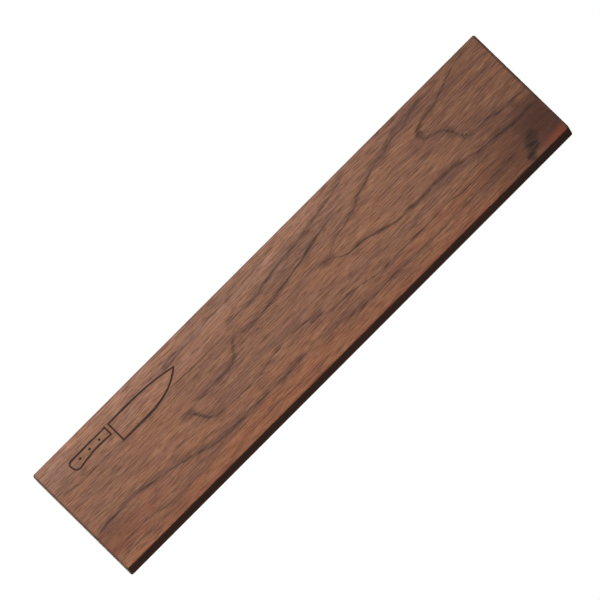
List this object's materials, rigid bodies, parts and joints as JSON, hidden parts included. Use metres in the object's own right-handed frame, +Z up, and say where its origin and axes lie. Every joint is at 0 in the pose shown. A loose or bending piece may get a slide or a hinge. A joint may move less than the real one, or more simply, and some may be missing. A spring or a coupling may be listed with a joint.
{
  "type": "magnetic knife bar",
  "caption": "Flat wall-mounted bar of solid walnut with magnets behind its face that hold knives by the blade; keyhole plates let into its back hang it on wall screws.",
  "frame": {"origin": "centre of the bar on the wall plane, midway between the two keyholes", "axes": "+X along the bar to the right as seen from the front, +Y into the wall, +Z up; the face looks along -Y"},
  "size_m": [0.5, 0.0265, 0.11],
  "materials": {
    "walnut": "oiled, open pored",
    "walnut_veneer": "matt, straight grained veneer on plywood",
    "ferrite": "dull sintered ceramic",
    "keeper_steel": "cold rolled, satin",
    "plate_steel": "stamped, bright zinc plated",
    "zinc_screw": "bright zinc plated",
    "rubber": "matt"
  },
  "bodies": {
    "root": {"walnut_body": "walnut", "back_panel": "walnut_veneer", "magnet_upper_1": "ferrite", "magnet_upper_2": "ferrite", "magnet_upper_3": "ferrite", "magnet_upper_4": "ferrite", "magnet_upper_5": "ferrite", "magnet_upper_6": "ferrite", "magnet_upper_7": "ferrite", "magnet_upper_8": "ferrite", "magnet_upper_9": "ferrite", "magnet_lower_1": "ferrite", "magnet_lower_2": "ferrite", "magnet_lower_3": "ferrite", "magnet_lower_4": "ferrite", "magnet_lower_5": "ferrite", "magnet_lower_6": "ferrite", "magnet_lower_7": "ferrite", "magnet_lower_8": "ferrite", "magnet_lower_9": "ferrite", "keeper_strip_upper": "keeper_steel", "keeper_strip_lower": "keeper_steel", "keeper_screw_upper_1": "zinc_screw", "keeper_screw_upper_2": "zinc_screw", "keeper_screw_upper_3": "zinc_screw", "keeper_screw_upper_4": "zinc_screw", "keeper_screw_lower_1": "zinc_screw", "keeper_screw_lower_2": "zinc_screw", "keeper_screw_lower_3": "zinc_screw", "keeper_screw_lower_4": "zinc_screw", "panel_screw_1": "zinc_screw", "panel_screw_2": "zinc_screw", "panel_screw_3": "zinc_screw", "panel_screw_4": "zinc_screw", "panel_screw_5": "zinc_screw", "panel_screw_6": "zinc_screw", "panel_screw_7": "zinc_screw", "panel_screw_8": "zinc_screw", "hanger_plate_left": "plate_steel", "hanger_plate_right": "plate_steel", "hanger_screw_left_1": "zinc_screw", "hanger_screw_left_2": "zinc_screw", "hanger_screw_right_1": "zinc_screw", "hanger_screw_right_2": "zinc_screw", "bumper_pad_upper_left": "rubber", "bumper_pad_upper_right": "rubber", "bumper_pad_lower_left": "rubber", "bumper_pad_lower_right": "rubber"}
  },
  "joints": []
}
